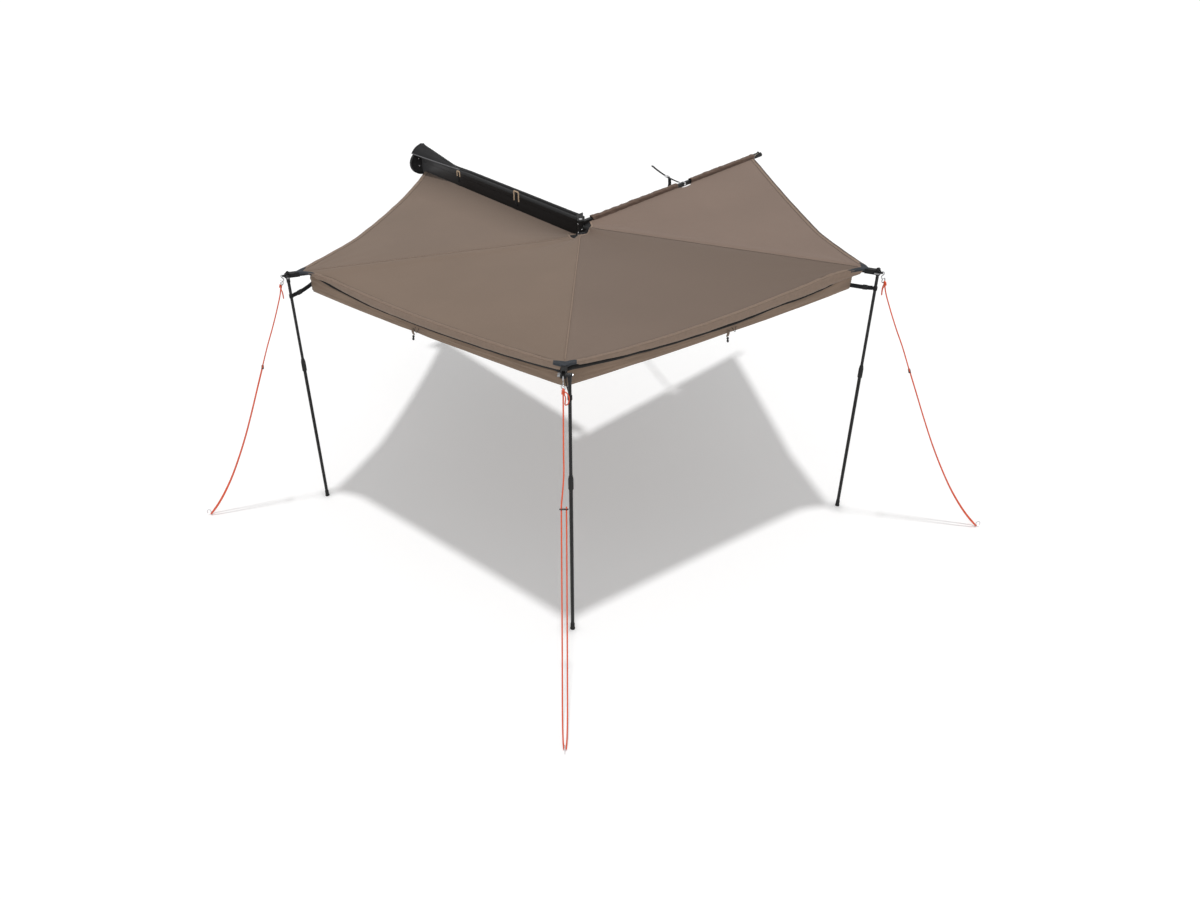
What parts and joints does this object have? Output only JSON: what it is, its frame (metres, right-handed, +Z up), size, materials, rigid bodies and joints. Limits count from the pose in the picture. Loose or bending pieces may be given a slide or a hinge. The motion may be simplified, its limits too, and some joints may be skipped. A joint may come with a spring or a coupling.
{
  "type": "vehicle side awning",
  "caption": "Swing-out side awning: fabric fan on hinged arms round a hub at the rail's end, with fold-down telescopic legs, rolled valance, soft cover and guy ropes to pegs",
  "frame": {"origin": "middle of the flat mounting face on the back of the rail", "axes": "+Z up, -Y outward from the vehicle's side, +X toward the hub end of the rail"},
  "size_m": [4.7075, 4.6433, 2.1085],
  "materials": {
    "rail": "black anodised, satin",
    "black_metal": "black powder coat",
    "bright_steel": "zinc plated",
    "arm_tube": "black anodised",
    "leg_tube": "black anodised",
    "black_plastic": "moulded",
    "foot_rubber": "matt",
    "canopy_fabric": "coated taupe cloth",
    "black_fabric": "black cloth and webbing",
    "tan_webbing": "woven webbing",
    "guy_rope": "braided cord",
    "elastic": "elastic cord"
  },
  "bodies": {
    "base": {"rail": "rail", "front_cap": "black_plastic", "hub_bracket": "black_metal", "hub_pin": "bright_steel", "cover": "black_fabric", "closure_strap_front": "tan_webbing", "closure_strap_rear": "tan_webbing", "tie_strap": "black_fabric", "tie_buckle": "bright_steel"},
    "arm_1": {"arm_1": "arm_tube", "tip_1": "black_metal", "canopy_1": "canopy_fabric", "leg_strap_1": "black_fabric", "rope_1": "guy_rope", "hook_1": "bright_steel", "slider_1": "black_plastic", "peg_1": "bright_steel"},
    "arm_2": {"arm_2": "arm_tube", "tip_2": "black_metal", "canopy_2": "canopy_fabric", "leg_strap_2": "black_fabric", "rope_2": "guy_rope", "hook_2": "bright_steel", "slider_2": "black_plastic", "peg_2": "bright_steel", "valance_1": "canopy_fabric"},
    "arm_3": {"arm_3": "arm_tube", "tip_3": "black_metal", "canopy_3": "canopy_fabric", "leg_strap_3": "black_fabric", "rope_3": "guy_rope", "hook_3": "bright_steel", "slider_3": "black_plastic", "peg_3": "bright_steel", "valance_2": "canopy_fabric"},
    "arm_4": {"arm_4": "arm_tube", "tip_4": "black_metal", "canopy_4": "canopy_fabric", "sleeve": "canopy_fabric", "ring_4": "bright_steel", "elastic_4": "elastic"},
    "leg_1": {"leg_1_upper": "leg_tube", "leg_1_clamp": "black_fabric"},
    "leg_1_slider": {"leg_1_lower": "leg_tube", "leg_1_foot": "foot_rubber"},
    "leg_1_lock": {"leg_1_collar": "black_plastic"},
    "wing_bolt_1": {"wing_bolt_1": "bright_steel"},
    "leg_2": {"leg_2_upper": "leg_tube", "leg_2_clamp": "black_fabric"},
    "leg_2_slider": {"leg_2_lower": "leg_tube", "leg_2_foot": "foot_rubber"},
    "leg_2_lock": {"leg_2_collar": "black_plastic"},
    "wing_bolt_2": {"wing_bolt_2": "bright_steel"},
    "leg_3": {"leg_3_upper": "leg_tube", "leg_3_clamp": "black_fabric"},
    "leg_3_slider": {"leg_3_lower": "leg_tube", "leg_3_foot": "foot_rubber"},
    "leg_3_lock": {"leg_3_collar": "black_plastic"},
    "wing_bolt_3": {"wing_bolt_3": "bright_steel"}
  },
  "joints": [
    {"name": "arm_1_swing", "type": "hinge", "parent": "base", "child": "arm_1", "pos_m": [1.0815, -0.106, -0.024], "axis": [0, 0, 1], "range_deg": [-67.5, 0], "deforming": ["canopy_1", "cover", "closure_strap_front", "closure_strap_rear", "rope_1", "hook_1", "slider_1", "peg_1"]},
    {"name": "arm_2_swing", "type": "hinge", "parent": "arm_1", "child": "arm_2", "pos_m": [1.0815, -0.106, 0.014], "axis": [0, 0, 1], "range_deg": [-67.5, 0], "deforming": ["canopy_2", "valance_1", "rope_2", "hook_2", "slider_2", "peg_2"]},
    {"name": "arm_3_swing", "type": "hinge", "parent": "arm_2", "child": "arm_3", "pos_m": [1.0815, -0.106, 0.052], "axis": [0, 0, 1], "range_deg": [-67.5, 0], "deforming": ["canopy_3", "valance_2", "rope_3", "hook_3", "slider_3", "peg_3"]},
    {"name": "arm_4_swing", "type": "hinge", "parent": "arm_3", "child": "arm_4", "pos_m": [1.0815, -0.106, 0.09], "axis": [0, 0, 1], "range_deg": [-67.5, 0], "deforming": ["canopy_4", "tie_strap", "tie_buckle", "elastic_4"]},
    {"name": "leg_1_fold", "type": "hinge", "parent": "arm_1", "child": "leg_1", "pos_m": [0.34248, -1.97117, 0.02628], "axis": [-0.9239, 0.3827, 0], "range_deg": [-88.6, 0], "deforming": ["leg_strap_1"]},
    {"name": "leg_1_length", "type": "slide", "parent": "leg_1", "child": "leg_1_slider", "axis": [0, 0, -1], "range_m": [-0.44, 0.2]},
    {"name": "leg_1_twist_lock", "type": "hinge", "parent": "leg_1_slider", "child": "leg_1_lock", "pos_m": [0.34248, -1.97117, -0.632], "axis": [0, 0, 1], "range_deg": [0, 90]},
    {"name": "wing_bolt_1_turn", "type": "hinge", "parent": "arm_1", "child": "wing_bolt_1", "pos_m": [0.31384, -1.9593, 0.02628], "axis": [0.9239, -0.3827, 0], "continuous": true},
    {"name": "leg_2_fold", "type": "hinge", "parent": "arm_2", "child": "leg_2", "pos_m": [2.49925, -1.47991, 0.06347], "axis": [-0.7071, -0.7071, 0], "range_deg": [-88.6, 0], "deforming": ["leg_strap_2"]},
    {"name": "leg_2_length", "type": "slide", "parent": "leg_2", "child": "leg_2_slider", "axis": [0, 0, -1], "range_m": [-0.44, 0.2]},
    {"name": "leg_2_twist_lock", "type": "hinge", "parent": "leg_2_slider", "child": "leg_2_lock", "pos_m": [2.49925, -1.47991, -0.632], "axis": [0, 0, 1], "range_deg": [0, 90]},
    {"name": "wing_bolt_2_turn", "type": "hinge", "parent": "arm_2", "child": "wing_bolt_2", "pos_m": [2.47733, -1.50183, 0.06347], "axis": [0.7071, 0.7071, 0], "continuous": true},
    {"name": "leg_3_fold", "type": "hinge", "parent": "arm_3", "child": "leg_3", "pos_m": [2.92294, 0.6903, 0.10228], "axis": [0.3827, -0.9239, 0], "range_deg": [-88.6, 0], "deforming": ["leg_strap_3"]},
    {"name": "leg_3_length", "type": "slide", "parent": "leg_3", "child": "leg_3_slider", "axis": [0, 0, -1], "range_m": [-0.44, 0.2]},
    {"name": "leg_3_twist_lock", "type": "hinge", "parent": "leg_3_slider", "child": "leg_3_lock", "pos_m": [2.92294, 0.6903, -0.632], "axis": [0, 0, 1], "range_deg": [0, 90]},
    {"name": "wing_bolt_3_turn", "type": "hinge", "parent": "arm_3", "child": "wing_bolt_3", "pos_m": [2.9348, 0.66166, 0.10228], "axis": [-0.3827, 0.9239, 0], "continuous": true}
  ]
}
